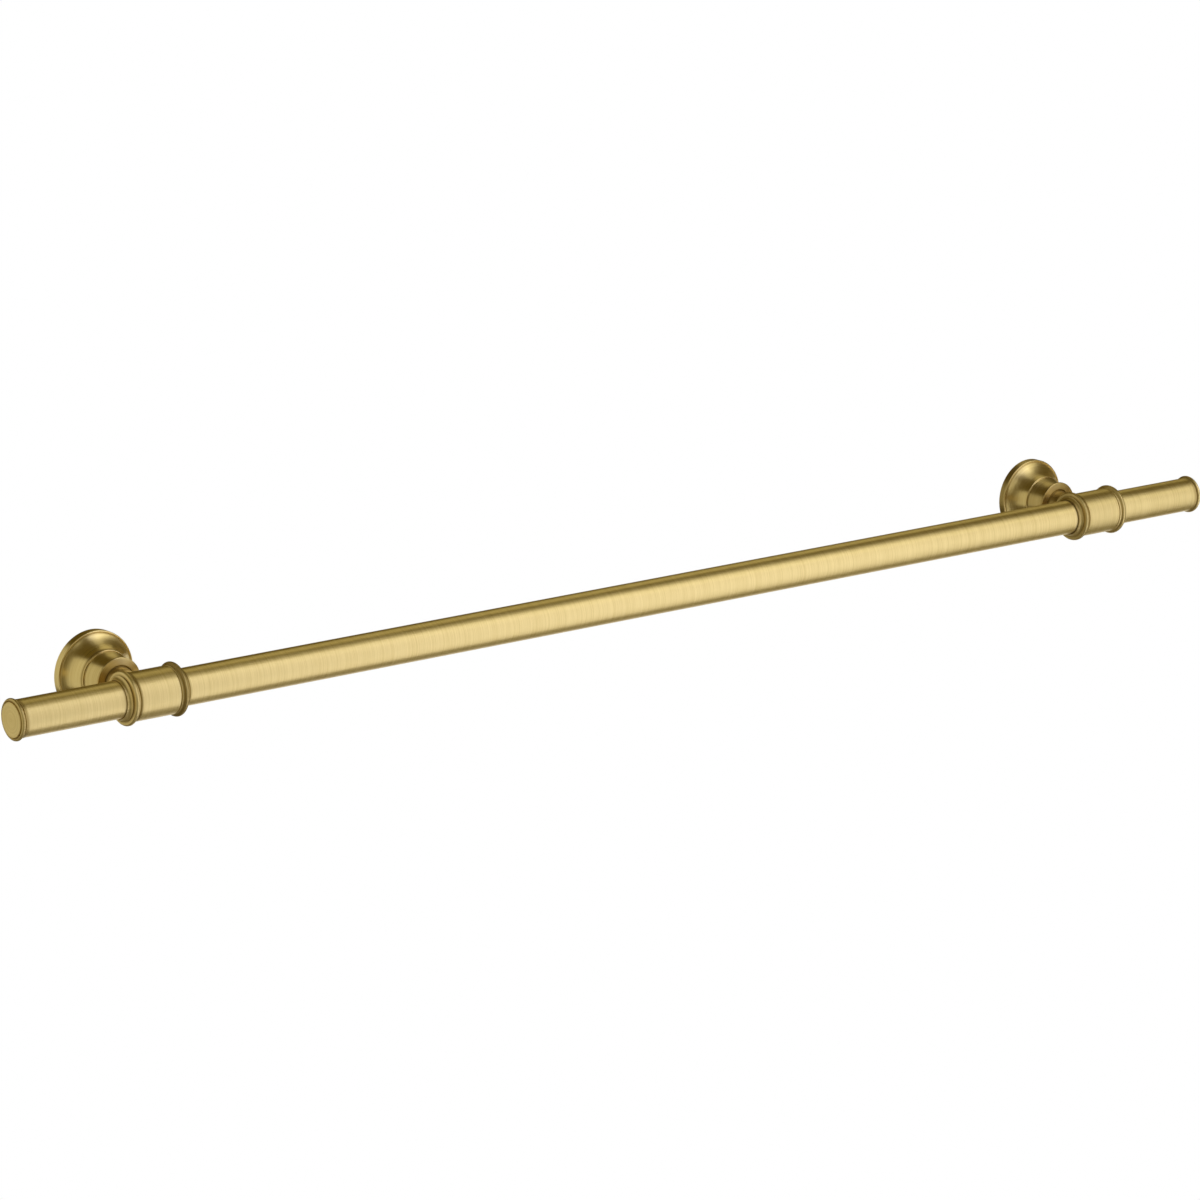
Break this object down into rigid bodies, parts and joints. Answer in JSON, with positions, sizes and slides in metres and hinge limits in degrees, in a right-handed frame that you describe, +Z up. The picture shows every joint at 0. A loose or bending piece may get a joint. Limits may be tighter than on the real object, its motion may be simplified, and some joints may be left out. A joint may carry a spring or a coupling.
{
  "type": "towel rail",
  "caption": "Straight brushed-brass towel rail with beaded end caps, carried in turned collars on posts and stepped wall rosettes; holds hanging towels.",
  "frame": {"origin": "on the wall plane, midway between the two brackets, level with the rail's axis", "axes": "+X along the rail, +Y into the wall, +Z up"},
  "size_m": [0.828, 0.07, 0.0458],
  "materials": {
    "brushed_brass": "brushed satin",
    "zinc_steel": "zinc plated",
    "stainless_steel": "plain"
  },
  "bodies": {
    "root": {"rail_tube": "brushed_brass", "left_end_cap": "brushed_brass", "right_end_cap": "brushed_brass", "left_collar": "brushed_brass", "right_collar": "brushed_brass", "left_post": "brushed_brass", "right_post": "brushed_brass", "left_rosette": "brushed_brass", "right_rosette": "brushed_brass", "left_wall_plate": "zinc_steel", "right_wall_plate": "zinc_steel", "post_screws": "stainless_steel", "post_spring_washers": "stainless_steel", "rosette_grub_screws": "stainless_steel", "collar_grub_screws": "stainless_steel"}
  },
  "joints": []
}
